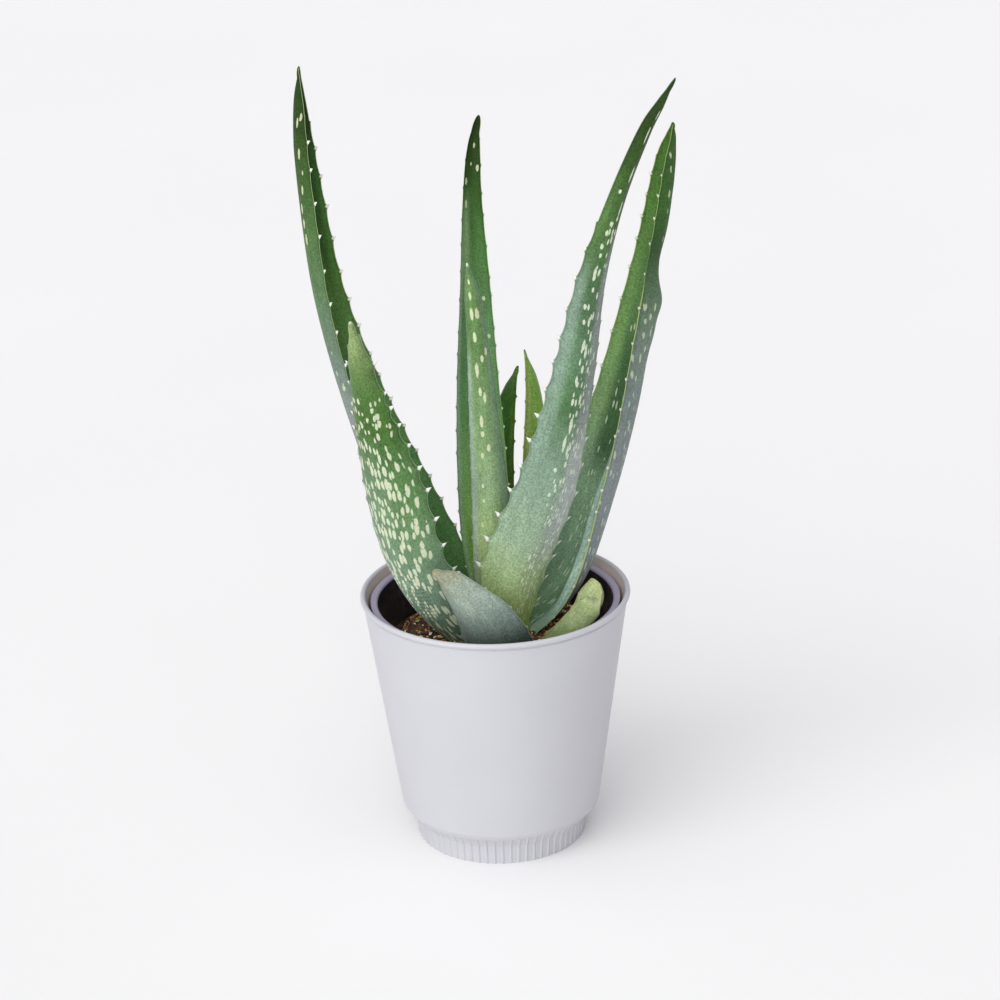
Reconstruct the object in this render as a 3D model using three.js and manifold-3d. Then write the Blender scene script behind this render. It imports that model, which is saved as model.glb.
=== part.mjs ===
// A young aloe in its dark growing pot, which stands inside a white cover pot.
// Millimetres, +Z up. The origin is on the pot's axis, on the surface that the pot stands on, and
// -Y is the front. Each leaf is one solid with its teeth, and the short stem stands in the soil.

import * as THREE from 'three';
import { mergeVertices } from 'three/addons/utils/BufferGeometryUtils.js';
import Module from 'manifold-3d';

const wasm = await Module();
wasm.setup();

// Cover pot
const POT_HEIGHT = 132;
const RIM_RADIUS = 67.5;
const RIM_BEAD = 1.4;
const BODY_TOP_RADIUS = 66.1;
const BODY_LOW_RADIUS = 50.2;
const BODY_LOW = 19;
const CHAMFER_RADIUS = 48.3;
const CHAMFER_LOW = 16;
const WALL = 2;
const STEP_TOP = 16.5;
const STEP_CORNER = 1.5;
const FLOOR_TOP = 3.5;
const FLOOR = 2.3;
const WELL_RADIUS = 39.5;
const FOOT_RADIUS = 42.5;
const FOOT_TAPER = 1;
const FOOT_SUNK = 41;
const BAND_LOW = 10;
const BAND_TOP = 15.6;
const BAND_RADIUS = 46.8;
const UNDER_LOW = 14;
const UNDER_RADIUS = 44;
const RIB_COUNT = 66;
const RIB_HEIGHT = 0.6;
const POT_SIDES = 66;

// Growing pot
const CLEAR = 0.3;
const LIP_TOP = 128.5;
const LIP_RADIUS = 62;
const LIP_DEPTH = 8;
const LIP_ROUND = 0.8;
const GROW_TOP_RADIUS = 59.2;
const GROW_LOW_RADIUS = 43;
const GROW_WALL = 1.2;
const GROW_FLOOR = 2;
const DRAIN_COUNT = 6;
const DRAIN_RADIUS = 4;
const DRAIN_CIRCLE = 26;
const DRAIN_SIDES = 12;

// Soil, and the stem that stands in it
const SOIL_TOP = 114;
const SOIL_LUMP = 0.5;
const LUMP_LENGTH = 3.5;
const MOUND_RADIUS = 41;
const MOUND_SLOPE = 11;
const MOUND_HEIGHT = 10;
const STEM_RADIUS = 10;
const STEM_LOW = 84;
const STEM_TOP = 126;
const STEM_DOME = 6;
const STEM_SIDES = 18;
const CROWN = new THREE.Vector2(3, 0);

// Leaves
const TOOTH_PITCH = 13;
const TOOTH_HEIGHT = 2.2;
const TOOTH_FADE = 0.55;
const TOOTH_LENGTH = 3.4;
const TOOTH_SWEEP = 0.5;
const TOOTH_STRAY = 0.3;
const FIRST_TOOTH = 0.07;
const LAST_TOOTH = 0.93;
const TIP_RING = 0.975;
const EDGE_STRIP = 1.7;
const MIDDLE_STRIP = 0.45;
const SLIMMEST = 1.6;
const THICKEST = 0.45;
const FULL_HOLLOW = 0.4;
const LEAF_GAP = 0.35;

// Each leaf from its base to its tip. A station is [x, y, z, width] of the line midway between its
// margins. The hollow inner face looks along the bearing `faces`, in degrees from +X, at base and tip.
// `hollow` is the depth of the channel as a share of the width, and `flesh` the thickness behind it.
// `cut` is where the one broken leaf ends: a point of its flat end, and the way that the end faces.
const LEAVES = [
  {
    name: 'leaf_right_front',
    colour: 0x6f9a78,
    stations: [
      [3, -11, 106, 20], [6, -17.5, 135, 30], [12.5, -20, 160, 34], [25.6, -22, 193, 32], [34, -24, 224, 27],
      [42, -27, 262, 22], [50, -30, 304, 15.5], [62, -34, 345, 9.5], [75, -38, 378, 7.5],
      [90.5, -42, 405.5, 0],
    ],
    faces: [105, 125],
    hollow: [0.12, 0.2],
    flesh: [8, 3],
  },
  {
    name: 'leaf_left_front',
    colour: 0x5f8f66,
    stations: [
      [-7, -7, 106, 20], [-26, -20, 134, 32], [-39.7, -29, 166, 34.5], [-47.7, -35, 205, 32.3],
      [-56.5, -40, 245, 18.5], [-61.5, -43, 274, 10], [-64.5, -45, 292, 0],
    ],
    faces: [55, 68],
    hollow: [0.12, 0.15],
    flesh: [8, 4],
  },
  {
    name: 'leaf_centre_front',
    colour: 0x5d8a57,
    stations: [
      [2, -7, 106, 15], [0, -12, 145, 20], [-1, -14, 190, 18], [-3, -16, 235, 14], [-4.7, -17, 270, 10.3],
      [-6.8, -17, 295, 6.8], [-8.7, -17, 310, 0],
    ],
    faces: [90, 90],
    hollow: [0.15, 0.15],
    flesh: [5, 3],
  },
  {
    name: 'leaf_right_tall',
    colour: 0x4f8350,
    stations: [
      [-2, -7, 112, 24], [13, -5, 123.5, 31], [31.5, 1.5, 142, 30], [45.5, 12, 181, 28.5],
      [58, 19, 222, 25], [68, 26, 260, 19.5], [77.7, 31, 300, 14], [87.5, 34, 340, 9], [93.8, 36, 361, 0],
    ],
    faces: [205, 205],
    hollow: [0.27, 0.48],
    flesh: [8, 4.5],
  },
  {
    name: 'leaf_centre_tall',
    colour: 0x55894f,
    stations: [
      [2, 7, 106, 17], [-3.5, 14.5, 150, 24], [-4.7, 18, 190, 25], [-5.5, 22, 235, 21], [-5.3, 27, 280, 15.5],
      [-5.4, 33, 325, 9.8], [-3.8, 37, 352, 6.3], [-1, 39, 366.5, 0],
    ],
    faces: [275, 285],
    hollow: [0.2, 0.3],
    flesh: [6, 3],
  },
  {
    name: 'leaf_far_left',
    colour: 0x47794a,
    stations: [
      [2, 1, 106, 18], [-22.5, 9, 142, 30], [-40, 14, 180, 31], [-59, 22, 229, 24], [-74.5, 31, 280, 17],
      [-82, 38, 330, 12.5], [-86, 43, 370, 7], [-87.3, 45, 392, 0],
    ],
    faces: [322, 327],
    hollow: [0.3, 0.45],
    flesh: [7, 4],
  },
  {
    name: 'leaf_back_dark',
    colour: 0x3f6a3a,
    stations: [
      [2, 15, 106, 11], [3.5, 27.5, 150, 15], [5.5, 33, 190, 13], [8.3, 37, 215, 10.5], [14.8, 40, 236, 0],
    ],
    faces: [285, 300],
    hollow: [0.3, 0.3],
    flesh: [4, 2.5],
  },
  {
    name: 'leaf_back_light',
    colour: 0x6fa060,
    stations: [
      [11, 11, 106, 11], [19, 23.5, 150, 15.5], [22, 29, 190, 15], [21.8, 33, 222, 9.7], [18, 36, 246, 0],
    ],
    faces: [240, 230],
    hollow: [0.2, 0.2],
    flesh: [4, 2.5],
  },
  {
    name: 'leaf_stub_front',
    colour: 0x6c8a75,
    stations: [
      [6, -23, 108, 27], [1, -36, 120.5, 34], [-5.5, -41, 136, 29], [-12.7, -44, 146.5, 21.5],
      [-21, -45.5, 156.7, 14], [-30, -46, 163, 0],
    ],
    faces: [78, 70],
    hollow: [0.12, 0.15],
    flesh: [5, 2.5],
  },
  {
    name: 'leaf_stub_right',
    colour: 0x8fae5f,
    stations: [
      [14, -18, 106, 10], [31, -21.5, 122.5, 13], [38.2, -22, 130, 13.5], [44, -22, 138, 13.5],
      [49.5, -22, 147, 13], [54, -22, 155, 10],
    ],
    faces: [165, 156],
    hollow: [0.45, 0.55],
    flesh: [5, 5],
    cut: { at: [49, -22, 134], facing: [0.85, -0.36, 0.3] },
  },
];

// The same seed always gives the same draws, each between 0 and 1.
function seededDraws(seed) {
  let state = seed;
  return () => {
    state = (state * 16807) % 2147483647;
    return state / 2147483647;
  };
}

// A solid from a geometry: one vertex at each place, and no triangle without an area.
function toSolid(geometry) {
  const bare = geometry.clone();
  bare.deleteAttribute('normal');
  bare.deleteAttribute('uv');
  const merged = mergeVertices(bare, 1e-4);
  const index = merged.index.array;
  const kept = [];
  for (let i = 0; i < index.length; i += 3) {
    const [a, b, c] = [index[i], index[i + 1], index[i + 2]];
    if (a !== b && b !== c && c !== a) kept.push(a, b, c);
  }
  const vertProperties = new Float32Array(merged.attributes.position.array);
  return new wasm.Manifold(new wasm.Mesh({ numProp: 3, vertProperties, triVerts: new Uint32Array(kept) }));
}

// A solid turned about +Z from a profile of [radius, height] pairs.
function turned(profile, sides) {
  const points = profile.map(([radius, height]) => new THREE.Vector2(radius, height));
  return new THREE.LatheGeometry(points, sides).rotateX(Math.PI / 2);
}

function toGeometry(solid) {
  const mesh = solid.getMesh();
  const geometry = new THREE.BufferGeometry();
  geometry.setAttribute('position', new THREE.BufferAttribute(mesh.vertProperties, 3));
  geometry.setIndex(new THREE.BufferAttribute(mesh.triVerts, 1));
  geometry.computeVertexNormals();
  return geometry;
}

// The cover pot: tapered body with a rolled rim, a step inside that carries the growing pot, and
// below it a narrower well whose floor stands a little above the foot's flat lower edge.
function coverCup() {
  const rimLow = POT_HEIGHT - 2 * RIM_BEAD;
  const bead = [-45, 0, 45, 90, 135].map((degrees) => {
    const angle = THREE.MathUtils.degToRad(degrees);
    return [
      RIM_RADIUS + RIM_BEAD * (Math.cos(angle) - 1),
      POT_HEIGHT + RIM_BEAD * (Math.sin(angle) - 1),
    ];
  });
  const bodyRadius = (height) => (
    THREE.MathUtils.mapLinear(height, BODY_LOW, rimLow, BODY_LOW_RADIUS, BODY_TOP_RADIUS));
  return turned([
    [0, FLOOR_TOP - FLOOR], [WELL_RADIUS - WALL, FLOOR_TOP - FLOOR], [WELL_RADIUS - WALL, 0],
    [FOOT_SUNK, 0], [FOOT_SUNK, UNDER_LOW], [UNDER_RADIUS, UNDER_LOW], [CHAMFER_RADIUS, CHAMFER_LOW],
    [BODY_LOW_RADIUS, BODY_LOW], [BODY_TOP_RADIUS, rimLow], ...bead, [BODY_TOP_RADIUS - WALL, rimLow],
    [bodyRadius(STEP_TOP + STEP_CORNER) - WALL, STEP_TOP + STEP_CORNER],
    [bodyRadius(STEP_TOP) - WALL - STEP_CORNER, STEP_TOP], [WELL_RADIUS, STEP_TOP],
    [WELL_RADIUS, FLOOR_TOP], [0, FLOOR_TOP],
  ], POT_SIDES);
}

// The foot's outer skin. It is raised into ribs, which run up the foot and its sloping band.
function ribbedFoot() {
  const sunk = FOOT_SUNK - WALL / 4;
  const profile = [
    [sunk, 0], [FOOT_RADIUS, 0], [FOOT_RADIUS + FOOT_TAPER, BAND_LOW], [BAND_RADIUS, BAND_TOP],
    [sunk, BAND_TOP], [sunk, 0],
  ];
  const geometry = turned(profile, RIB_COUNT * 2);
  const position = geometry.attributes.position;
  for (let i = 0; i < position.count; i += 1) {
    const side = Math.floor(i / profile.length);
    const row = i % profile.length;
    const isOuter = row >= 1 && row <= 3;
    if (!isOuter || side % 2 === 1) continue;
    const shrink = 1 - RIB_HEIGHT / profile[row][0];
    position.setXYZ(i, position.getX(i) * shrink, position.getY(i) * shrink, position.getZ(i));
  }
  return geometry;
}

function outerPot() {
  return toSolid(coverCup()).add(toSolid(ribbedFoot()));
}

// The growing pot's inner radius at a height.
function growInside(height) {
  const low = STEP_TOP + CLEAR;
  const slope = (GROW_TOP_RADIUS - GROW_LOW_RADIUS) / (LIP_TOP - LIP_DEPTH - low);
  return GROW_LOW_RADIUS - GROW_WALL + slope * (height - low);
}

// The growing pot: thin tapered wall, a stepped-out lip and drain holes in its floor.
function nurseryPot() {
  const low = STEP_TOP + CLEAR;
  const step = LIP_TOP - LIP_DEPTH;
  let pot = toSolid(turned([
    [0, low], [GROW_LOW_RADIUS, low], [GROW_TOP_RADIUS, step], [LIP_RADIUS - LIP_ROUND, step],
    [LIP_RADIUS, step + LIP_ROUND], [LIP_RADIUS, LIP_TOP - LIP_ROUND], [LIP_RADIUS - LIP_ROUND, LIP_TOP],
    [growInside(LIP_TOP), LIP_TOP], [growInside(low + GROW_FLOOR), low + GROW_FLOOR], [0, low + GROW_FLOOR],
  ], POT_SIDES));
  for (let i = 0; i < DRAIN_COUNT; i += 1) {
    const bearing = (i / DRAIN_COUNT) * Math.PI * 2;
    const drain = new THREE.CylinderGeometry(DRAIN_RADIUS, DRAIN_RADIUS, GROW_FLOOR * 3, DRAIN_SIDES);
    drain.rotateX(Math.PI / 2);
    drain.translate(Math.cos(bearing) * DRAIN_CIRCLE, Math.sin(bearing) * DRAIN_CIRCLE, low);
    pot = pot.subtract(toSolid(drain));
  }
  return pot;
}

// The soil fills the growing pot. It is lumpy, and mounded round the plant.
function soil() {
  const low = STEP_TOP + GROW_FLOOR + CLEAR * 2;
  const moundHeight = (radius) => (
    SOIL_TOP - MOUND_HEIGHT * THREE.MathUtils.smoothstep(radius, MOUND_RADIUS, MOUND_RADIUS + MOUND_SLOPE));
  const edge = growInside(SOIL_TOP - MOUND_HEIGHT) - CLEAR;
  const profile = [
    [0, low], [growInside(low) - CLEAR, low],
    ...[edge, 50, 47, 44, 41, 33, 25, 17, 0].map((radius) => [radius, moundHeight(radius)]),
  ];
  const geometry = turned(profile, POT_SIDES);
  const position = geometry.attributes.position;
  for (let i = 0; i < position.count; i += 1) {
    const [x, y, z] = [position.getX(i), position.getY(i), position.getZ(i)];
    const isLumpy = z > SOIL_TOP / 2 && Math.hypot(x, y) < edge - 1;
    const lump = SOIL_LUMP * (1 + Math.sin(x / LUMP_LENGTH) * Math.sin(y / LUMP_LENGTH));
    if (isLumpy) position.setZ(i, z - lump);
  }
  const hole = new THREE.CylinderGeometry(STEM_RADIUS + CLEAR, STEM_RADIUS + CLEAR, SOIL_TOP, STEM_SIDES);
  hole.rotateX(Math.PI / 2);
  hole.translate(CROWN.x, CROWN.y, STEM_LOW - CLEAR + SOIL_TOP / 2);
  return toSolid(geometry).subtract(toSolid(hole));
}

// The short stem, rounded off at its growing tip. `grow` makes it that much larger all round.
function stem(grow) {
  const radius = STEM_RADIUS + grow;
  const shoulder = STEM_TOP - STEM_DOME;
  const dome = [0, 30, 60, 90].map((degrees) => {
    const angle = THREE.MathUtils.degToRad(degrees);
    return [radius * Math.cos(angle), shoulder + (STEM_DOME + grow) * Math.sin(angle)];
  });
  dome[dome.length - 1][0] = 0;
  const geometry = turned([[0, STEM_LOW], [radius, STEM_LOW], ...dome], STEM_SIDES);
  return toSolid(geometry.translate(CROWN.x, CROWN.y, 0));
}

// The rings of one leaf: where each crosses the left and the right margin, from 0 at the base to 1 at
// the tip, and whether a tooth stands there. Each tooth takes three rings, at its two feet and its point.
function leafRings(length, seed) {
  const draw = seededDraws(seed);
  const count = Math.max(2, Math.round((length * (LAST_TOOTH - FIRST_TOOTH)) / TOOTH_PITCH));
  const pitch = (LAST_TOOTH - FIRST_TOOTH) / count;
  const foot = TOOTH_LENGTH / 2 / length;
  const rings = [{ left: 0, right: 0, tooth: 0 }];
  for (let i = 0; i < count; i += 1) {
    const middle = FIRST_TOOTH + (i + 0.5) * pitch;
    const left = middle - pitch * TOOTH_STRAY * draw();
    const right = middle + pitch * TOOTH_STRAY * draw();
    rings.push({ left: left - foot, right: right - foot, tooth: 0 });
    rings.push({ left, right, tooth: 1 });
    rings.push({ left: left + foot, right: right + foot, tooth: 0 });
  }
  rings.push({ left: TIP_RING, right: TIP_RING, tooth: 0 });
  return rings;
}

function leafWidth(leaf, t) {
  return Math.max(leaf.widths.getPoint(t).x, SLIMMEST);
}

// One point of a leaf. `along` runs from base to tip, `across` from -1 at the left margin to 1 at the
// right, and `back` is 0 on the hollow inner face and 1 on the rounded outer face. The inner face is a
// parabola across the leaf, and the flesh behind it thins towards the margins.
function leafPoint(leaf, along, across, back, grow) {
  const t = leaf.line.getUtoTmapping(THREE.MathUtils.clamp(along, 0, 1));
  const tangent = leaf.line.getTangent(t);
  const bearing = THREE.MathUtils.degToRad(THREE.MathUtils.lerp(leaf.faces[0], leaf.faces[1], along));
  const inward = new THREE.Vector3(Math.cos(bearing), Math.sin(bearing), 0);
  inward.addScaledVector(tangent, -inward.dot(tangent)).normalize();
  const side = new THREE.Vector3().crossVectors(inward, tangent);
  const width = leafWidth(leaf, t);
  const deepened = THREE.MathUtils.smoothstep(along, 0, FULL_HOLLOW);
  const hollow = THREE.MathUtils.lerp(leaf.hollow[0], leaf.hollow[1], deepened) * width;
  const flesh = Math.min(THREE.MathUtils.lerp(leaf.flesh[0], leaf.flesh[1], along), width * THICKEST);
  const inner = -hollow * (1 - across * across);
  const depth = inner - back * flesh * Math.sqrt(1 - across * across) + grow * (1 - 2 * back);
  return leaf.line.getPoint(t)
    .addScaledVector(side, across * (width / 2 + grow))
    .addScaledVector(inward, depth);
}

// A margin point stands out as a tooth, swept towards the tip, where its ring has one.
function marginPoint(leaf, ring, across, grow) {
  const along = across < 0 ? ring.left : ring.right;
  const t = leaf.line.getUtoTmapping(along);
  const height = ring.tooth * TOOTH_HEIGHT * (1 - TOOTH_FADE * along);
  const edge = leafPoint(leaf, along, across, 0, grow);
  const outward = edge.clone().sub(leafPoint(leaf, along, across * 0.7, 0, grow)).normalize();
  return edge.addScaledVector(outward, height).addScaledVector(leaf.line.getTangent(t), TOOTH_SWEEP * height);
}

// A leaf's closed surface: rings of ten points round the section, a flat base and a pointed tip.
// Both faces are split into triangles alike, so that they never cross.
function leafSolid(leaf, grow) {
  const rows = leafRings(leaf.line.getLength(), leaf.seed).map((ring) => leafRow(leaf, ring, grow));
  const around = rows[0].length;
  const half = around / 2;
  const index = [];
  for (let j = 0; j < half; j += 1) {
    const [a, b, c, d] = [j, j + 1, around - j - 1, (around - j) % around];
    index.push(a, b, c, a, c, d);
  }
  for (let i = 0; i + 1 < rows.length; i += 1) {
    for (let j = 0; j < around; j += 1) {
      const next = (j + 1) % around;
      const [a, b] = [i * around + j, i * around + next];
      const [d, c] = [a + around, b + around];
      if (j < half) index.push(a, c, b, a, d, c);
      else index.push(a, d, b, b, d, c);
    }
  }
  const last = (rows.length - 1) * around;
  const tip = rows.length * around;
  for (let j = 0; j < around; j += 1) index.push(last + j, tip, last + (j + 1) % around);
  const points = [...rows.flat(), leaf.line.getPoint(1).addScaledVector(leaf.line.getTangent(1), grow)];
  const geometry = new THREE.BufferGeometry().setFromPoints(points);
  geometry.setIndex(index);
  return toSolid(geometry);
}

// The points of one ring: left margin, inner face, right margin, then the outer face back again.
function leafRow(leaf, ring, grow) {
  const t = leaf.line.getUtoTmapping((ring.left + ring.right) / 2);
  const edge = 1 - Math.min(0.5, (EDGE_STRIP * 2) / leafWidth(leaf, t));
  const inside = [-edge, -edge * MIDDLE_STRIP, edge * MIDDLE_STRIP, edge];
  const along = (across) => THREE.MathUtils.lerp(ring.left, ring.right, (across + 1) / 2);
  return [
    marginPoint(leaf, ring, -1, grow),
    ...inside.map((across) => leafPoint(leaf, along(across), across, 0, grow)),
    marginPoint(leaf, ring, 1, grow),
    ...inside.toReversed().map((across) => leafPoint(leaf, along(across), across, 1, grow)),
  ];
}

// All that lies beyond the broken leaf's flat end.
function beyond(cut) {
  const box = new THREE.BoxGeometry(RIM_RADIUS, RIM_RADIUS, RIM_RADIUS).translate(0, 0, RIM_RADIUS / 2);
  const facing = new THREE.Vector3(...cut.facing).normalize();
  box.applyQuaternion(new THREE.Quaternion().setFromUnitVectors(new THREE.Vector3(0, 0, 1), facing));
  return toSolid(box.translate(...cut.at));
}

// Near the stem the leaves press together. The later one in the list gives way to those before it,
// with LEAF_GAP between them, each ends on the soil, and a scrap that this would cut loose is dropped.
function fittedLeaves() {
  const ground = new THREE.BoxGeometry(RIM_RADIUS * 2, RIM_RADIUS * 2, SOIL_TOP);
  ground.translate(0, 0, SOIL_TOP / 2 + LEAF_GAP);
  const taken = [toSolid(ground), stem(LEAF_GAP)];
  return LEAVES.map((leaf) => {
    let solid = leafSolid(leaf, 0);
    if (leaf.cut) solid = solid.subtract(beyond(leaf.cut));
    taken.forEach((other) => {
      solid = solid.subtract(other);
    });
    taken.push(leafSolid(leaf, LEAF_GAP));
    return solid.decompose().reduce((a, b) => (b.volume() > a.volume() ? b : a));
  });
}

LEAVES.forEach((leaf, i) => {
  leaf.seed = 101 + 37 * i;
  leaf.line = new THREE.CatmullRomCurve3(
    leaf.stations.map(([x, y, z]) => new THREE.Vector3(x, y, z)), false, 'catmullrom', 0.5);
  leaf.widths = new THREE.CatmullRomCurve3(
    leaf.stations.map((station) => new THREE.Vector3(station[3], 0, 0)), false, 'catmullrom', 0.5);
});

const part = new THREE.Group();

function addPiece(name, solid, colour, roughness) {
  const finish = { color: colour, roughness, metalness: 0, flatShading: true };
  const piece = new THREE.Mesh(toGeometry(solid), new THREE.MeshStandardMaterial(finish));
  piece.name = name;
  part.add(piece);
}

addPiece('outer_pot', outerPot(), 0xdcdce2, 0.45);
addPiece('nursery_pot', nurseryPot(), 0x2e2c33, 0.5);
addPiece('soil', soil(), 0x4a3828, 0.95);
addPiece('stem', stem(0), 0x8fa35e, 0.6);
fittedLeaves().forEach((solid, i) => {
  addPiece(LEAVES[i].name, solid, LEAVES[i].colour, 0.5);
});

export default part;
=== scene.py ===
import math

import bpy
import numpy as np
from mathutils import Matrix, Vector


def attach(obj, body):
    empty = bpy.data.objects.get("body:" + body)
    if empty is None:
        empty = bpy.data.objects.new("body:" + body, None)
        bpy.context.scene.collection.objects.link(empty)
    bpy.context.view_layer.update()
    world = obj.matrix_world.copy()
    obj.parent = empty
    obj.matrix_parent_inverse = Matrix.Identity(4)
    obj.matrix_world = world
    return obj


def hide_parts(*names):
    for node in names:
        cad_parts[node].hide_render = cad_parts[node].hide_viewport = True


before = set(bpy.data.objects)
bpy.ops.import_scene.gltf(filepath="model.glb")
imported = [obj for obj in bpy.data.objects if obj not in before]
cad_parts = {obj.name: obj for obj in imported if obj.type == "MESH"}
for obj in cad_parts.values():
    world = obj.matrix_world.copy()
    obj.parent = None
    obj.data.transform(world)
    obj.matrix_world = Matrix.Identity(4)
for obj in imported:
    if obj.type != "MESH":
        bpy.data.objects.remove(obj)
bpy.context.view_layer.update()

# --------------------
# The room: a plain pale floor under soft studio light, from a large soft lamp at the left front,
# a weaker one over the plant, and white walls all round. The camera looks down a little.


def finish(name):
    """A new material of nodes, and its node tree."""
    material = bpy.data.materials.new(name)
    material.use_nodes = True
    return material, material.node_tree


def feed(tree, socket, value):
    """Gives a socket its value, or a link where the value is another node's output."""
    if isinstance(value, bpy.types.NodeSocket):
        tree.links.new(value, socket)
    elif value is not None:
        socket.default_value = value


def put(tree, kind, *ordered, output=0, settings=None, **named):
    """Adds a node of a kind, feeds its inputs in order or by name, and gives one of its outputs."""
    made = tree.nodes.new("ShaderNode" + kind)
    for key, value in (settings or {}).items():
        setattr(made, key, value)
    for key, value in [*enumerate(ordered), *named.items()]:
        feed(tree, made.inputs[key], value)
    return made.outputs[output]


def tint(code):
    """A colour as the shader takes it, from six hexadecimal digits of a screen colour: each part c
    is c / 12.92 where it is dark and ((c + 0.055) / 1.055) to the power 2.4 elsewhere."""
    parts = (int(code[i:i + 2], 16) / 255 for i in (0, 2, 4))
    return (*(c / 12.92 if c <= 0.04045 else ((c + 0.055) / 1.055) ** 2.4 for c in parts), 1.0)


def clouds(tree, place, scale, detail, roughness=0.5, stretch=None):
    """Cloudy noise at a place, whose three directions may be stretched first."""
    if stretch:
        place = put(tree, "Mapping", place, Scale=stretch)
    return put(tree, "TexNoise", place, Scale=scale, Detail=detail, Roughness=roughness)


def ramp(tree, value, dark, light, low=0.0, high=1.0):
    """A colour that goes evenly from dark to light as the value goes from low to high."""
    tone = put(tree, "ValToRGB", value)
    for stop, at, code in zip(tone.node.color_ramp.elements, (low, high), (dark, light)):
        stop.position, stop.color = at, tint(code)
    return tone


def coat(tree, values):
    """Feeds the material's one Principled shader, by the names of its inputs."""
    for key, value in values.items():
        feed(tree, tree.nodes["Principled BSDF"].inputs[key], value)


LOOK_DOWN, LEAN = math.radians(22.22), math.radians(-1.69)
LOOKED_AT, DISTANCE = Vector((0.00378, 0, 0.1802)), 1.839
camera_data = bpy.data.cameras.new("camera")
camera_data.sensor_width, camera_data.lens, camera_data.clip_end = 36.0, 133.8, 50.0
camera = bpy.data.objects.new("camera", camera_data)
bpy.context.collection.objects.link(camera)
ahead = Vector((0, math.cos(LOOK_DOWN), -math.sin(LOOK_DOWN)))
level, upward = Vector((1, 0, 0)), Vector((0, math.sin(LOOK_DOWN), math.cos(LOOK_DOWN)))
rightward = level * math.cos(LEAN) + upward * math.sin(LEAN)
skyward = upward * math.cos(LEAN) - level * math.sin(LEAN)
turned = Matrix((rightward, skyward, -ahead)).transposed()
camera.matrix_world = Matrix.Translation(LOOKED_AT - ahead * DISTANCE) @ turned.to_4x4()
bpy.context.scene.camera = camera

HALF = 8.0
floor_mesh = bpy.data.meshes.new("floor")
floor_mesh.from_pydata([(-HALF, -HALF, 0), (HALF, -HALF, 0), (HALF, HALF, 0), (-HALF, HALF, 0)], [],
                       [(0, 1, 2, 3)])
floor = bpy.data.objects.new("floor", floor_mesh)
bpy.context.collection.objects.link(floor)
floor_finish, floor_tree = finish("floor_paint")
floor_cloud = clouds(floor_tree, put(floor_tree, "TexCoord", output="Object"), 3.0, 2.0)
coat(floor_tree, {"Base Color": ramp(floor_tree, floor_cloud, "f8f8f5", "fcfcf9"),
                  "Roughness": 0.9, "Specular IOR Level": 0.1})
floor_mesh.materials.append(floor_finish)


def broad_lamp(name, towards, strength, spread):
    """A lamp so far off that its light is even, shining one way, as soft as its spread is wide."""
    data = bpy.data.lights.new(name, "SUN")
    data.energy, data.angle = strength, math.radians(spread)
    lamp = bpy.data.objects.new(name, data)
    bpy.context.collection.objects.link(lamp)
    lamp.rotation_euler = Vector(towards).to_track_quat("-Z", "Y").to_euler()


broad_lamp("key_lamp", (0.46, 0.78, -0.42), strength=2.05, spread=75)
broad_lamp("top_lamp", (0.1, 0.15, -1), strength=1.0, spread=80)
world = bpy.data.worlds.new("white_room")
bpy.context.scene.world = world
world.use_nodes = True
white_walls = world.node_tree.nodes["Background"].inputs
white_walls["Color"].default_value = (0.97, 0.95, 1.06, 1)
white_walls["Strength"].default_value = 0.38
bpy.context.scene.view_settings.view_transform = "Standard"

# --------------------
# The cover pot: one white plastic moulding with a tapered body, a rolled rim and a ribbed foot.
# Inside it has a step that carries the growing pot, over a narrower well. Near the top its inner
# wall is painted paler and creamier than the body, a painted light.


def closed_skin(name, rows, crease=40.0, ladder=False):
    """The mesh of a closed body from rows of points in millimetres, each row a ring. Neighbouring
    rings are joined by four-sided faces. The first and last ring are closed by a fan round their
    middle, or, on a leaf, by a ladder between its two faces. All faces are turned round if the
    volume that they enclose comes out negative."""
    count, around = rows.shape[:2]
    points = rows.reshape(-1, 3) * 0.001
    here = np.arange(count * around).reshape(count, around)
    beside = np.roll(here, -1, axis=1)
    walls = np.stack([here[:-1], beside[:-1], beside[1:], here[1:]], axis=-1).reshape(-1, 4)
    if ladder:
        k = np.arange(around // 2)
        a, b, c, d = k, k + 1, around - k - 1, (around - k) % around
        cap = np.concatenate([np.stack([a, b, c], axis=-1)[:-1], np.stack([a, c, d], axis=-1)[1:]])
        low_cap, high_cap = cap[:, ::-1], cap + here[-1, 0]
    else:
        points = np.concatenate([points, points[:around].mean(axis=0, keepdims=True),
                                 points[-around:].mean(axis=0, keepdims=True)])
        low_cap = np.stack([beside[0], here[0], np.full(around, count * around)], axis=-1)
        high_cap = np.stack([here[-1], beside[-1], np.full(around, count * around + 1)], axis=-1)
    threes = np.concatenate([walls[:, :3], walls[:, [0, 2, 3]], low_cap, high_cap])
    a, b, c = (points[threes[:, k]] for k in range(3))
    if (a * np.cross(b, c)).sum() < 0:
        walls, low_cap, high_cap = walls[:, ::-1], low_cap[:, ::-1], high_cap[:, ::-1]
    mesh = bpy.data.meshes.new(name)
    mesh.from_pydata(points.tolist(), [], walls.tolist() + low_cap.tolist() + high_cap.tolist())
    mesh.shade_smooth()
    mesh.set_sharp_from_angle(angle=math.radians(crease))
    return mesh


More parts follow.
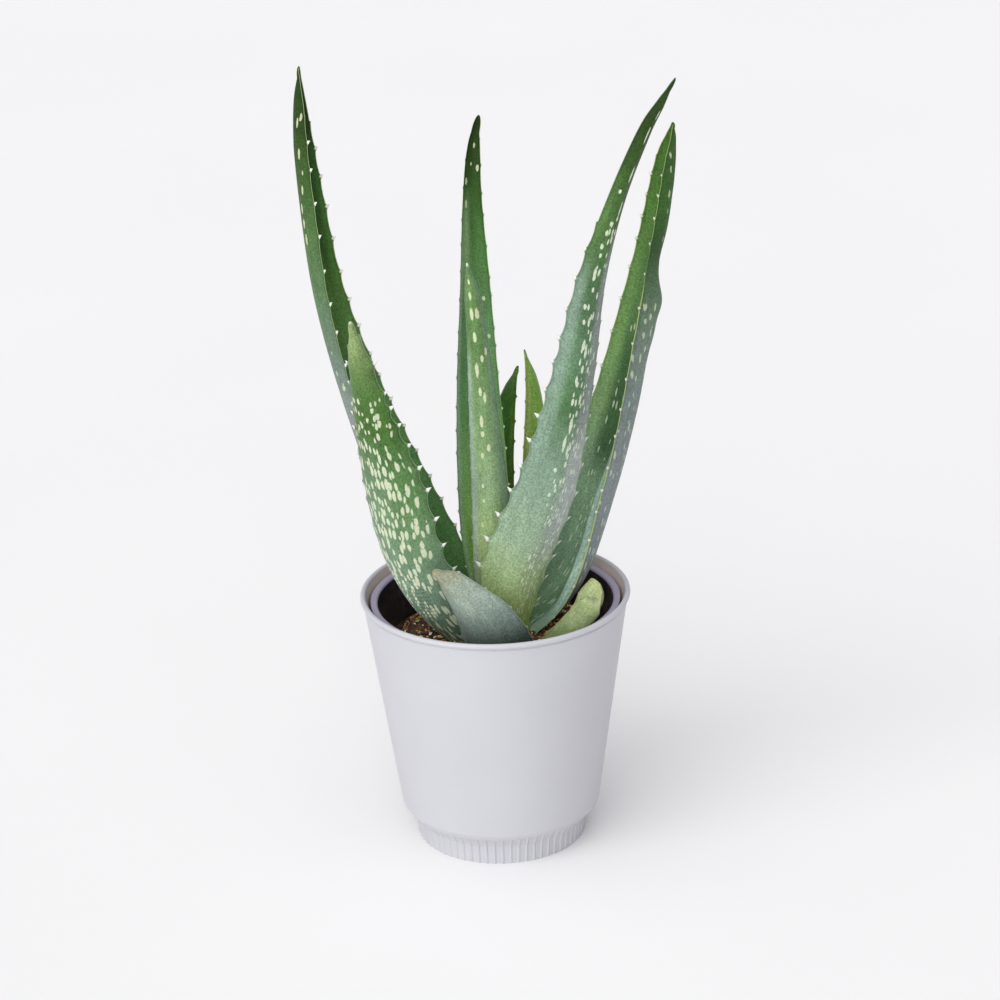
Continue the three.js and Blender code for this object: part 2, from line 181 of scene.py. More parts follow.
def softened(profile, radius, steps):
    """A profile whose corners are rounded: each inner point gives way to a curve that leaves one
    side `radius` before it and meets the other `radius` after it, or 0.45 of the side where that
    is less. The curve is (1-t)^2 a + 2t(1-t) b + t^2 c."""
    corners = np.array(profile, float)
    before, after = corners[:-2] - corners[1:-1], corners[2:] - corners[1:-1]
    reach_before = np.linalg.norm(before, axis=1, keepdims=True)
    reach_after = np.linalg.norm(after, axis=1, keepdims=True)
    start = corners[1:-1] + before / reach_before * np.minimum(radius, reach_before * 0.45)
    end = corners[1:-1] + after / reach_after * np.minimum(radius, reach_after * 0.45)
    t = np.linspace(0, 1, steps)[:, None, None]
    curves = (1 - t) ** 2 * start + 2 * t * (1 - t) * corners[1:-1] + t ** 2 * end
    return np.concatenate([corners[:1], curves.transpose(1, 0, 2).reshape(-1, 2), corners[-1:]])


def lathe(profile, sides):
    """Rows of points on rings about +Z: each profile point (radius, height) is carried round."""
    turn = np.arange(sides) / sides * 2 * np.pi
    radius, height = profile[:, :1], profile[:, 1:]
    return np.stack([radius * np.cos(turn), radius * np.sin(turn), height + 0 * turn], axis=-1)


def show(mesh, material, node=None):
    """Puts a finished mesh in the scene as a piece of its own name that rides on the part, in
    place of a CAD node."""
    made = bpy.data.objects.new(mesh.name, mesh)
    bpy.context.collection.objects.link(made)
    mesh.materials.append(material)
    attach(made, "root")
    if node:
        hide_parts(node)


def smooth(value, low, high):
    """0 below low, 1 above high, and between them t^2 (3 - 2t)."""
    t = np.clip((value - low) / (high - low), 0, 1)
    return t * t * (3 - 2 * t)


def band(value, low, full, fading, gone):
    """0 below low, 1 from full to fading, 0 above gone, and smooth between them."""
    return smooth(value, low, full) * (1 - smooth(value, fading, gone))


def mixed(tree, amount, under, over):
    """Lays one colour over another by an amount."""
    mix = tree.nodes.new("ShaderNodeMix")
    mix.data_type = "RGBA"
    for index, value in ((0, amount), (6, under), (7, over)):
        feed(tree, mix.inputs[index], value)
    return mix.outputs[2]


def sums(tree, way, *values):
    """One Math node."""
    return put(tree, "Math", *values, settings={"operation": way})


def vectors(tree, way, *values, output=0):
    """One Vector Math node."""
    return put(tree, "VectorMath", *values, output=output, settings={"operation": way})


def product(tree, first, *others):
    """All the values multiplied."""
    for other in others:
        first = sums(tree, "MULTIPLY", first, other)
    return first


def eased(tree, value, low, high, start=0.0, end=1.0):
    """A value carried smoothly from the range low to high to the range start to end."""
    return put(tree, "MapRange", value, low, high, start, end,
               settings={"interpolation_type": "SMOOTHSTEP"})


POT_SIDES, RIB_COUNT, RIB_HEIGHT, RIB_WIDTH = 924, 66, 0.6, 0.5
FOOT_RADIUS, FOOT_TOP = 43.5, 15.9
BEAD_MIDDLE, BEAD_RADIUS = (66.1, 130.6), 1.4
INNER_TOP, INNER_STEP = (64.1, 129.0), (48.1, 18)
bead_turn = np.radians(np.linspace(-70, 180, 14))
bead = BEAD_MIDDLE + BEAD_RADIUS * np.stack([np.cos(bead_turn), np.sin(bead_turn)], axis=-1)
outside = softened([(36, 1.2), (37.5, 1.2), (37.5, 0), (42.5, 0), (FOOT_RADIUS, 10), (46.8, 15.6),
                    (48.3, 16), (50.2, 19), (66.0, 127.9), (65.5, 128.5), (65.7, 129.2)], 0.7, 5)
inside = softened([INNER_TOP, INNER_STEP, (39.5, 16.5), (39.5, 3.5), (2, 3.5)], 1.2, 5)
pot_profile = np.concatenate([[(2, 1.2)], outside, bead, inside])
pot_rows = lathe(pot_profile, POT_SIDES)
pot_radius, pot_height = pot_profile[:, :1], pot_profile[:, 1:]
rib_turn = (np.arange(POT_SIDES) / POT_SIDES * RIB_COUNT) % 1 - 0.5
crest = np.exp(-(rib_turn * 2 * np.pi * FOOT_RADIUS / RIB_COUNT / RIB_WIDTH) ** 4)
is_outside = np.arange(len(pot_profile))[:, None] < len(outside)
is_foot = is_outside & (pot_radius > 42) & (pot_height < FOOT_TOP)
sink = np.where(is_foot, RIB_HEIGHT * (1 - crest), 0) * band(pot_height, -0.2, 0.5, 15.0, FOOT_TOP)
pot_rows[..., :2] *= (1 - sink / pot_radius)[..., None]

white_plastic, pot_tree = finish("white_plastic")
pot_place = put(pot_tree, "TexCoord", output="Object")
pot_cloud = clouds(pot_tree, pot_place, 18.0, 3.0)
at_x, at_y, at_z = put(pot_tree, "SeparateXYZ", pot_place).node.outputs
from_axis = vectors(pot_tree, "LENGTH", put(pot_tree, "CombineXYZ", at_x, at_y), output="Value")
inner_wall = put(pot_tree, "MapRange", at_z, INNER_STEP[1] / 1000, INNER_TOP[1] / 1000,
                 INNER_STEP[0] / 1000, INNER_TOP[0] / 1000)
into_wall = sums(pot_tree, "SUBTRACT", from_axis, inner_wall)
# Painted light: near the top the inner wall is painted a paler cream than the body.
inner_wall_painted_light = product(pot_tree, eased(pot_tree, into_wall, 0.0011, 0.0003),
                  eased(pot_tree, at_z, 0.06, 0.1))
pot_tone = mixed(pot_tree, inner_wall_painted_light, ramp(pot_tree, pot_cloud, "c6c6cb", "cacacf", 0.3, 0.7),
                 tint("e4d5c8"))
coat(pot_tree, {
    "Base Color": pot_tone, "Specular IOR Level": 0.35,
    "Roughness": put(pot_tree, "MapRange", pot_cloud, 0.3, 0.7, 0.36, 0.44),
    "Normal": put(pot_tree, "Bump", Strength=0.06, Distance=0.0002,
                  Height=clouds(pot_tree, pot_place, 900.0, 2.0))})
show(closed_skin("cover_pot", pot_rows), white_plastic, "outer_pot")

# --------------------
# The growing pot: thin dark plastic, scratched and dusty inside, with a flat lip whose top is
# painted pale, a painted highlight where it catches the light.
# It stands on the cover pot's step, and its lip comes just below the white rim.

grow_profile = softened([(2, 16.8), (43, 16.8), (59.2, 120.5), (62, 120.5), (62.5, 128.1),
                         (59.5, 127.8), (58.9, 127.0), (58.2, 121.0), (42.1, 18.8), (2, 18.8)],
                        0.5, 4)
dark_plastic, grow_tree = finish("dark_plastic")
grow_place = put(grow_tree, "TexCoord", output="Object")
dust = clouds(grow_tree, grow_place, 90.0, 6.0, 0.65)
scratches = clouds(grow_tree, grow_place, 2.0, 4.0, 0.6, stretch=(90.0, 90.0, 9.0))
grow_height = put(grow_tree, "SeparateXYZ", grow_place, output="Z")
grow_tone = mixed(grow_tree, eased(grow_tree, scratches, 0.56, 0.66, 0.0, 0.55),
                  ramp(grow_tree, dust, "201c24", "4a423f", 0.52, 0.78), tint("6a5446"))
# Painted highlight: the top of the lip is painted pale lavender where it catches the light.
grow_tone = mixed(grow_tree, eased(grow_tree, grow_height, 0.1264, 0.1271), grow_tone,
                  tint("a69fb5"))
coat(grow_tree, {
    "Base Color": grow_tone,
    "Roughness": put(grow_tree, "MapRange", scratches, 0.35, 0.7, 0.3, 0.65),
    "Normal": put(grow_tree, "Bump", Strength=0.25, Distance=0.0004, Height=scratches)})
show(closed_skin("growing_pot", lathe(grow_profile, 360)), dark_plastic,
     "nursery_pot")

# --------------------
# The potting soil: it fills the growing pot, dark and crumbly, mounded round the plant. Loose bits
# of bark, fibre and pale grit lie on it, each a small rough pebble with a tint of its own.


def uneven(u, v, seed, length, octaves=4):
    """Smooth unevenness between about -1 and 1: sines of length `length` in seeded directions, each
    octave half as long and 0.6 times as high as the one before, three waves to an octave."""
    draw = np.random.default_rng(seed)
    total, height = np.zeros(np.broadcast(u, v).shape), 0.5
    for octave in range(octaves):
        for wave in range(3):
            turn, phase = draw.uniform(0, np.pi), draw.uniform(0, 2 * np.pi)
            reach = length * draw.uniform(0.75, 1.3)
            across = u * math.cos(turn) + v * math.sin(turn)
            total = total + height * np.sin(across * 2 * np.pi / reach + phase)
        length, height = length / 2, height * 0.6
    return total


SOIL_TOP, SOIL_FALL, SOIL_EDGE = 114.0, 10, 55.1


def mounded(reach):
    """The bed's height at a reach from its axis: level in the middle, and lower near its edge."""
    return SOIL_TOP - SOIL_FALL * smooth(reach, 41, 52)


def crumbled(x, y):
    """What lumps some 9 mm long and crumbs of 2.4 mm add to the bed's height, less 1.2 mm."""
    lumps, crumbs = uneven(x, y, 5, 9.0, 5), uneven(x + 40, y, 9, 2.4, 3)
    return 0.9 * lumps + 0.35 * np.abs(crumbs) - 1.2


below = [(2, 19.2), (41.8, 19.2), (50, 75), (SOIL_EDGE + 0.05, 103.2)]
reach = np.concatenate([np.linspace(SOIL_EDGE, 38, 70), np.linspace(37.4, 1.5, 40)])
soil_rows = lathe(np.concatenate([below, np.stack([reach, mounded(reach)], axis=-1)]), 420)
is_top = (np.arange(len(soil_rows)) > len(below))[:, None]
soil_rows[..., 2] += np.where(is_top, crumbled(soil_rows[..., 0], soil_rows[..., 1]), 0)
soil_finish, soil_tree = finish("potting_soil")
soil_cloud = clouds(soil_tree, put(soil_tree, "TexCoord", output="Object"), 260.0, 6.0, 0.7)
coat(soil_tree, {
    "Base Color": ramp(soil_tree, soil_cloud, "1a1413", "705439", 0.35, 0.72), "Roughness": 0.92,
    "Normal": put(soil_tree, "Bump", Strength=0.9, Distance=0.0012, Height=soil_cloud)})
show(closed_skin("soil_bed", soil_rows, 180), soil_finish, "soil")

BIT_COUNT, SIDES = 2600, 6
BIT_TINTS = "3a2c24 7a5a3c a8743f cf9448 e6bd78 a9b863 ebe0c2 f6f4ea 5f4b42".split()
BIT_SHARES = [0.17, 0.16, 0.14, 0.12, 0.11, 0.08, 0.08, 0.05, 0.09]
draw = np.random.default_rng(31)
turn = np.arange(SIDES) / SIDES * 2 * np.pi
rise = np.radians([-55, -12, 30, 66])[:, None]
pebble = np.stack([np.cos(rise) * np.cos(turn + rise), np.cos(rise) * np.sin(turn + rise),
                   np.sin(rise) + 0 * turn], axis=-1).reshape(-1, 3)
pebble = np.concatenate([pebble, [(0, 0, -1), (0, 0, 1)]])
ring, here = np.divmod(np.arange(3 * SIDES), SIDES)
beside = (here + 1) % SIDES + ring * SIDES
here = here + ring * SIDES
top = 3 * SIDES
pebble_faces = np.concatenate([
    np.stack([here, beside, beside + SIDES], axis=-1),
    np.stack([here, beside + SIDES, here + SIDES], axis=-1),
    np.stack([beside[:SIDES], here[:SIDES], np.full(SIDES, top + SIDES)], axis=-1),
    np.stack([top + here[:SIDES], top + beside[:SIDES], np.full(SIDES, top + SIDES + 1)], axis=-1)])
bit_reach = 12 + (SOIL_EDGE - 14.5) * np.sqrt(draw.uniform(0, 1, BIT_COUNT))
bit_turn = draw.uniform(0, 2 * np.pi, BIT_COUNT)
bit_x, bit_y = bit_reach * np.cos(bit_turn), bit_reach * np.sin(bit_turn)
bit_size = 0.5 + 1.3 * draw.uniform(0, 1, BIT_COUNT) ** 2.5
stretch = draw.uniform(0.55, 1.0, (BIT_COUNT, 3)) * [1.5, 0.9, 0.6]
spin = draw.uniform(0, np.pi, BIT_COUNT)[:, None]
rough = draw.uniform(0.72, 1.2, (BIT_COUNT, len(pebble), 1))
long, wide, high = np.moveaxis(pebble * rough * stretch[:, None] * bit_size[:, None, None], 2, 0)
bed = mounded(bit_reach) + crumbled(bit_x, bit_y) + 0.25 * bit_size
bit_points = np.stack([long * np.cos(spin) - wide * np.sin(spin) + bit_x[:, None],
                       long * np.sin(spin) + wide * np.cos(spin) + bit_y[:, None],
                       high + bed[:, None]], axis=-1).reshape(-1, 3)
bit_faces = (pebble_faces + np.arange(BIT_COUNT)[:, None, None] * len(pebble)).reshape(-1, 3)
bits = bpy.data.meshes.new("soil_bits")
bits.from_pydata((bit_points * 0.001).tolist(), [], bit_faces.tolist())
picked = draw.choice(len(BIT_TINTS), BIT_COUNT, p=BIT_SHARES)
colours = np.array([tint(code) for code in BIT_TINTS])[picked]
bits.attributes.new("bit_tint", "FLOAT_COLOR", "POINT").data.foreach_set(
    "color", np.repeat(colours, len(pebble), axis=0).ravel())
bits_finish, bits_tree = finish("soil_bits")
bits_tint = put(bits_tree, "Attribute", settings={"attribute_name": "bit_tint"})
bits_cloud = clouds(bits_tree, put(bits_tree, "TexCoord", output="Object"), 1500.0, 3.0)
bits_shade = put(bits_tree, "MapRange", bits_cloud, 0.3, 0.7, 0.9, 1.45)
coat(bits_tree, {"Base Color": vectors(bits_tree, "SCALE", bits_tint, None, None, bits_shade),
                 "Roughness": 0.85})
show(bits, bits_finish)

# --------------------
# The stem: a short pale crown in the soil that every leaf grows from, with faint folds across it
# and a rounded tip. Its lower end is sunk in the soil.

STEM_RADIUS, STEM_PLACE = 10, [3.0, 0.0]
dome_turn = np.radians(np.linspace(0, 84, 12))
stem_profile = np.concatenate([
    [(1.0, 84.0), (9.6, 84.0), (STEM_RADIUS, 85)],
    np.linspace((STEM_RADIUS, 90), (STEM_RADIUS, 119), 20),
    np.stack([STEM_RADIUS * np.cos(dome_turn), 120 + 6 * np.sin(dome_turn)], axis=-1)])
stem_rows = lathe(stem_profile, 72)
folds = 1 + 0.02 * np.sin(stem_profile[:, 1] * 2.2)[:, None, None]
stem_rows[..., :2] = stem_rows[..., :2] * folds * 0.98 + STEM_PLACE
stem_finish, stem_tree = finish("stem_skin")
fibre = clouds(stem_tree, put(stem_tree, "TexCoord", output="Object"), 1.0, 4.0,
                    stretch=(600.0, 600.0, 60.0))
coat(stem_tree, {"Base Color": ramp(stem_tree, fibre, "7d9a52", "a5b878"), "Roughness": 0.5,
                 "Normal": put(stem_tree, "Bump", Strength=0.3, Distance=0.0003, Height=fibre)})
show(closed_skin("stem_crown", stem_rows), stem_finish, "stem")

# --------------------
# The far left leaf: tall and channelled. Its edge is towards the camera, with the spotted outer
# face at the left and the shaded channel at the right, and it ends in a dark hooked tip.


def through(stations, t):
    """A smooth line through the stations, at t from 0 to 1: on the stretch between p1 and p2, with
    the neighbours p0 and p3 and w from 0 to 1, it is p1 + (p2-p0)w/2 + (2p0-5p1+4p2-p3)w^2/2 +
    (3p1-p0-3p2+p3)w^3/2. Beyond the ends the stations are mirrored in the end points."""
    padded = np.concatenate([2 * stations[:1] - stations[1:2], stations,
                             2 * stations[-1:] - stations[-2:-1]])
    place = t * (len(stations) - 1)
    first = np.minimum(place.astype(int), len(stations) - 2)
    w = (place - first)[:, None]
    p0, p1, p2, p3 = (padded[first + k] for k in range(4))
    return (p1 + (p2 - p0) * w / 2 + (2 * p0 - 5 * p1 + 4 * p2 - p3) * w ** 2 / 2
            + (3 * p1 - p0 - 3 * p2 + p3) * w ** 3 / 2)


def bell(value, middle, width):
    """exp(-((value - middle) / width)^2): 1 in the middle, and falling off on both sides."""
    return np.exp(-((value - middle) / width) ** 2)


def blended(stops, along):
    """Colours along the leaf, changing evenly between given stops (place, colour)."""
    places = [place for place, code in stops]
    colours = np.array([tint(code)[:3] for place, code in stops])
    return np.stack([np.interp(along, places, colours[:, k]) for k in range(3)], axis=-1)


def toothed(teeth, far, length, height, foot, scallop):
    """How far a margin stands out at each place, as (teeth, scallops). A tooth is
    height (1 - distance / foot)^1.4 high. Between two teeth, with u from 0 to 1, the margin stands
    out by scallop (1 - 2u)^2, so that it is hollow between them."""
    ends = 2 * teeth[0] - teeth[1], 2 * teeth[-1] - teeth[-2]
    spread = np.concatenate([[ends[0]], teeth, [ends[1]]]) * length
    gap = np.abs(far[:, None] - teeth * length)
    spike = (height * np.clip(1 - gap / foot, 0, 1) ** 1.4).max(axis=1)
    after = np.clip(np.searchsorted(spread, far), 1, len(spread) - 1)
    u = np.clip((far - spread[after - 1]) / (spread[after] - spread[after - 1]), 0, 1)
    within = (far > spread[0]) & (far < spread[-1])
    return spike, np.where(within, scallop * (1 - 2 * u) ** 2, 0)


RING_STEP, AROUND, LEAST_WIDTH = 0.32, 60, 0.08
TOOTH_SPACING, MARGIN_START, MARGIN_SHARE = 13, 0.07, 0.86
TOOTH_REACH, PINCH_REACH, SCALLOP_REACH, TOOTH_LEAN = 0.9, 1.4, 3.0, 0.7


def leaf_body(name, line, faces, hollow, flesh, seed, outer, inner, tooth, scallop, blunt, foot=1.2,
              washes=(), left_teeth=None, right_teeth=None, curl=(0, 0), bend=None, ridge=None,
              dents=None, cut=None, spot_size=(2.2, 5.0), spots=None, bloom=None):
    """A leaf's closed mesh, and what its skin needs at each point.

    The line through the stations (x, y, z, width) gives the leaf's middle and width. Across it, x
    runs from -1 at the left margin to 1 at the right, as seen from outside. The inner face lies
    -hollow (1 - x^2) widths from the line along the bearing that the leaf faces, and the outer face
    lies flesh (1 - x^2)^0.7 further back. `bend` moves both faces that way, `ridge` the inner one,
    and `dents` moves them back. Over the last `blunt` millimetres, where the leaf starts w wide, it
    is at least w sqrt(1 - (1 - distance / blunt)^2) wide, so that the tip is round. Teeth and
    scallops have a size at the base and one at the tip. Teeth stand in the direction of the margin,
    turned inward by `curl`. A cut is (middle, direction, radius): what lies that way from the
    middle and outside the radius is gone. Outer and inner stops and washes give the paint."""
    stations = np.array(line, float)
    fine = np.linspace(0, 1, 2001)
    steps = np.linalg.norm(np.diff(through(stations, fine)[:, :3], axis=0), axis=1)
    walked = np.append(0, np.cumsum(steps))
    length = walked[-1]
    along = np.linspace(0, 1, int(length / RING_STEP))
    far = along * length
    track = through(stations, np.interp(along, walked / length, fine))
    middle, width = track[:, :3], track[:, 3]
    from_tip = np.clip((length - far) / blunt, 0, 1)
    round_tip = np.interp(length - blunt, far, width) * np.sqrt(1 - (1 - from_tip) ** 2)
    width = np.where(from_tip < 1, np.maximum(width, round_tip), width)
    width = np.maximum(width, LEAST_WIDTH)
    ahead = np.gradient(middle, axis=0)
    ahead /= np.linalg.norm(ahead, axis=1, keepdims=True)
    bearing = np.radians(np.interp(along, np.linspace(0, 1, len(faces)), faces))
    inward = np.stack([np.cos(bearing), np.sin(bearing), 0 * bearing], axis=-1)
    inward -= (inward * ahead).sum(axis=1, keepdims=True) * ahead
    inward /= np.linalg.norm(inward, axis=1, keepdims=True)
    side = np.cross(inward, ahead)
    depth = (hollow[0] + (hollow[1] - hollow[0]) * smooth(along, 0, 0.4)) * width
    thick = np.minimum(flesh[0] + (flesh[1] - flesh[0]) * along, 0.45 * width)

    turn = np.arange(AROUND) / AROUND * 2 * np.pi
    full, x = np.meshgrid(along, np.cos(turn), indexing="ij")
    face = np.meshgrid(along, np.sin(turn), indexing="ij")[1]
    wide, deep, thick = width[:, None], depth[:, None], thick[:, None]
    wall = np.where(face < 0, thick * np.abs(face) ** 1.4, 0)
    from_edge = np.hypot((1 - np.abs(x)) * wide / 2, deep * face ** 2 + wall)

    draws = np.random.default_rng(seed)
    count = max(3, round(length * MARGIN_SHARE / TOOTH_SPACING))
    even = MARGIN_START + (np.arange(count) + 0.5) * MARGIN_SHARE / count
    margins = []
    for own in (left_teeth, right_teeth):
        own = np.sort(even + draws.uniform(-0.2, 0.2, count) / count if own is None else own)
        height = np.interp(own, [0, 1], tooth) * draws.uniform(0.8, 1.15, len(own))
        scallops = np.interp(far / length, [0, 1], scallop)
        margins.append(toothed(own, far, length, height, foot, scallops))
    spike, wave = (np.where(x > 0, right[:, None], left[:, None]) for left, right in zip(*margins))

    pinch = 1 - 0.7 * np.clip(spike / 1.2, 0, 1) * bell(from_edge, 0, PINCH_REACH)
    lift = -deep * face ** 2 - wall * pinch + (bend(full, x) if bend else 0)
    if ridge:
        lift += ridge(full, x) * (face > 0)
    if dents:
        lift -= dents(full, x, face) * np.abs(face)
    rise = np.arctan2(2 * depth, width / 2)[:, None]
    hook_rise = rise + np.where(x > 0, curl[1], curl[0])
    hook = spike * bell(from_edge, 0, TOOTH_REACH)
    stretched = wave * np.exp(-from_edge / SCALLOP_REACH) * np.abs(x)
    across = x * wide / 2 + np.sign(x) * (hook * np.cos(hook_rise) + stretched * np.cos(rise))
    lift = lift + hook * np.sin(hook_rise) + stretched * np.sin(rise)
    rows = (middle[:, None] + side[:, None] * across[..., None] + inward[:, None] * lift[..., None]
            + ahead[:, None] * (TOOTH_LEAN * hook)[..., None])

    dense, dusty = (0 * full + (way(full, x, face) if way else 0) for way in (spots, bloom))
    behind = np.where(face < 0, -face * thick, 0)
    sizes = spot_size(along) if callable(spot_size) else spot_size
    spot_wide, spot_long = ((size + 0 * along)[:, None] for size in sizes)
    climbed = np.append(0, np.cumsum(np.diff(far) / spot_long[1:, 0]))[:, None]
    cast = np.clip(face * 2.5 + 0.5, 0, 1)[..., None]
    paint = blended(outer, full) * (1 - cast) + blended(inner, full) * cast
    for code, amount in washes:
        amount = np.clip(amount(full, x, face), 0, 1)[..., None]
        paint = paint * (1 - amount) + np.array(tint(code)[:3]) * amount
    values = {
        "grain": np.stack([x * wide / 2, full * length, -behind], axis=-1),
        "spot_place": np.stack([x * wide / 2 / spot_wide + seed, climbed + 0 * x,
                                -behind / spot_wide], axis=-1),
        "rim": np.stack([from_edge, hook, (1 - full) * length], axis=-1),
        "marks": np.stack([dense, dusty, face], axis=-1),
        "paint": paint,
    }
    if cut:
        apart = rows - np.array(cut[0], float)
        beyond = (apart @ np.array(cut[1], float) > 0) & (np.linalg.norm(apart, axis=-1) > cut[2])
        last = np.where(beyond.any(axis=0), beyond.argmax(axis=0), len(along) - 1)
        place = np.arange(len(along))[:, None] / (len(along) - 1) * last
        low = np.minimum(place.astype(int), len(along) - 2)
        part, column = (place - low)[..., None], np.arange(AROUND)
        rows, *kept = (value[low, column] * (1 - part) + value[low + 1, column] * part
                       for value in (rows, *values.values()))
        values = dict(zip(values, kept))
    mesh = closed_skin(name, rows, 180, ladder=True)
    for key, value in values.items():
        mark = mesh.attributes.new(key, "FLOAT_VECTOR", "POINT")
        mark.data.foreach_set("vector", value.astype(np.float32).ravel())
    return mesh


def leaf_skin(name, spot="cfd8ae", spot_round=0.42, dust="a3b0ac", margin="8fa880", tooth="e9efdf",
              tip="3f4422", tip_length=1.5, grit=0.28, ovals=(), oval_face=-1.0):
    """The skin of a leaf. Its paint is broken up by grit, fine lines and clouds along the leaf, and
    darkened within about 2 mm of the margin, a painted shade line. Over it come the powdery bloom,
    the cream spots, the pale margin, the teeth and the dry tip, in that order. An oval is
    (millimetres across, millimetres along, half width, half length) on one face, 1 for the inner
    and -1 for the outer."""
    material, tree = finish(name)
    lines, gloss, margin_width = 0.1, 0.45, 0.45

    def own(key):
        return put(tree, "Attribute", output="Vector", settings={"attribute_name": key})

    def cloudy(across, along, detail, roughness):
        return clouds(tree, grain, 1.0, detail, roughness, (across, along, across))

    def swing(noise, start, end):
        return eased(tree, noise, 0.3, 0.7, start, end)

    grain, place, paint = own("grain"), own("spot_place"), own("paint")
    edge, hook, to_tip = put(tree, "SeparateXYZ", own("rim")).node.outputs
    dense, dusty, face = put(tree, "SeparateXYZ", own("marks")).node.outputs
    fine_lines = cloudy(2.2, 0.07, 3.0, 0.6)
    broad = cloudy(0.16, 0.035, 3.0, 0.55)
    mottle = cloudy(0.45, 0.3, 2.0, 0.6)
    speckle = cloudy(1.3, 1.0, 2.0, 0.8)
    powder = cloudy(0.8, 0.1, 5.0, 0.65)
    # The last factor darkens the paint near the margin: painted shade behind the margin.
    shade = product(tree, eased(tree, fine_lines, 0.25, 0.75, 1 - lines, 1 + lines),
                    eased(tree, broad, 0.25, 0.75, 0.88, 1.1), swing(mottle, 0.93, 1.07),
                    swing(speckle, 1 - grit, 1 + grit), eased(tree, edge, 0.6, 1.9, 0.78, 1.0))
    dusted = product(tree, dusty, eased(tree, powder, 0.3, 0.68, 0.35, 1.0),
                     swing(speckle, 0.75, 1.1))

    wobble = put(tree, "TexNoise", place, output="Color", Scale=1.3, Detail=2.0)
    drift = vectors(tree, "SUBTRACT", wobble, (0.5, 0.5, 0.5))
    drift = vectors(tree, "SCALE", drift, None, None, 0.5)
    cell = put(tree, "TexVoronoi", vectors(tree, "ADD", place, drift), Scale=1.0, Randomness=0.8,
               settings={"voronoi_dimensions": "2D"}).node.outputs
    chance = put(tree, "SeparateColor", cell["Color"]).node.outputs
    kept = eased(tree, sums(tree, "SUBTRACT", dense, chance[0]), 0.0, 0.12)
    size = product(tree, kept, eased(tree, chance[1], 0.0, 1.0, spot_round * 0.6, spot_round))
    spotted = eased(tree, sums(tree, "SUBTRACT", size, cell["Distance"]), -0.03, 0.1)
    if ovals:
        nearest = None
        for right, up, half_wide, half_long in ovals:
            moved = put(tree, "Mapping", grain, (-right / half_wide, -up / half_long, 0.0), None,
                        (1 / half_wide, 1 / half_long, 0.0))
            reach = vectors(tree, "LENGTH", moved, output="Value")
            nearest = reach if nearest is None else sums(tree, "MINIMUM", nearest, reach)
        ragged = sums(tree, "ADD", nearest, swing(mottle, -0.18, 0.18))
        placed = product(tree, eased(tree, ragged, 1.15, 0.8),
                         eased(tree, product(tree, face, oval_face), 0.0, 0.1))
        spotted = sums(tree, "MAXIMUM", spotted, placed)

    skin = vectors(tree, "SCALE", paint, None, None, shade)
    for amount, code in (
            (dusted, dust), (product(tree, spotted, swing(speckle, 0.72, 0.98)), spot),
            (eased(tree, edge, margin_width * 0.4, margin_width, 0.85, 0.0), margin),
            (eased(tree, hook, 0.25, 0.7), tooth),
            (eased(tree, to_tip, tip_length, tip_length * 0.3, 0.0, 0.85), tip)):
        skin = mixed(tree, amount, skin, tint(code))
    relief = sums(tree, "ADD", fine_lines, speckle)
    relief = sums(tree, "ADD", relief, product(tree, spotted, 0.15))
    coat(tree, {
        "Base Color": skin, "Specular IOR Level": 0.12, "Subsurface Weight": 0.05,
        "Subsurface Radius": (0.6, 1.0, 0.3), "Subsurface Scale": 0.001,
        "Roughness": sums(tree, "ADD", swing(fine_lines, gloss - 0.05, gloss + 0.05),
                          product(tree, dusted, 0.2)),
        "Normal": put(tree, "Bump", Strength=0.5, Distance=0.00035, Height=relief)})
    return material


far_left = leaf_body(
    "far_left_leaf",
    [(2, 1, 106, 18), (-22.5, 9, 142, 30), (-40, 14, 180, 31), (-59, 22, 229, 24),
     (-74.5, 31, 280, 17), (-82, 38, 330, 12.5), (-86, 43, 370, 7), (-87.3, 45, 392, 0)],
    faces=(322, 332), hollow=(0.3, 0.45), flesh=(7, 4), seed=11,
    bend=lambda along, x: 2.4 * band(along, 0.45, 0.75, 0.93, 1) * smooth(x, -0.2, 1.0),
    right_teeth=[0.36, 0.42, 0.478, 0.518, 0.572, 0.618, 0.672, 0.728, 0.781, 0.835, 0.879],
    left_teeth=[0.19, 0.241, 0.285, 0.334, 0.381, 0.431, 0.476, 0.514, 0.564, 0.61, 0.658, 0.714,
                0.767, 0.817, 0.863],
    tooth=(1.4, 1.7), foot=1.6, scallop=(1.2, 0.5), curl=(0.0, 0.7), blunt=6,
    outer=[(0, "8f9a94"), (0.3, "8c9690"), (0.42, "7f8b84"), (0.52, "607a62"), (0.62, "5a7b52"),
           (0.7, "527644"), (0.8, "40602b"), (0.9, "2c4617"), (1, "263d13")],
    inner=[(0, "5f8a4f"), (0.3, "64905a"), (0.5, "5c8248"), (0.65, "547d39"), (0.8, "447232"),
           (0.9, "2f5221"), (1, "1e3312")],
    # Painted shade: a dark green wash in the channel on the inner face.
    washes=[("273d1c", lambda along, x, face: (
        0.5 * (face > 0) * bell(x, -0.62, 0.2) * smooth(along, 0.55, 0.7)))],
    spots=lambda along, x, face: 0.25 * (face < 0) * band(along, 0.36, 0.42, 0.5, 0.6),
    spot_size=(1.8, 5.0),
    bloom=lambda along, x, face: 0.5 * (1 - smooth(along, 0.42, 0.66)) * smooth(-face, -0.1, 0.3))
far_left_skin = leaf_skin(
    "far_left_leaf_skin", dust="9aa3a0", tooth="eff2e2", margin="a8b886",
    ovals=[(3.1, 282.8, 0.25, 2.0), (2.4, 279.8, 0.25, 2.4), (3.2, 264.4, 0.3, 2.6),
           (4.1, 255.5, 0.2, 1.2), (3.8, 246.8, 0.3, 2.4), (2.9, 237.5, 0.35, 2.4),
           (3.2, 230.1, 0.4, 2.6), (3.6, 222.2, 0.4, 2.8)])
show(far_left, far_left_skin, "leaf_far_left")

# --------------------
# The left front leaf: broad, thick and blunt, its outer face towards the camera, covered with
# cream spots that stretch into streaks near the base. Hooked white teeth stand at the right.

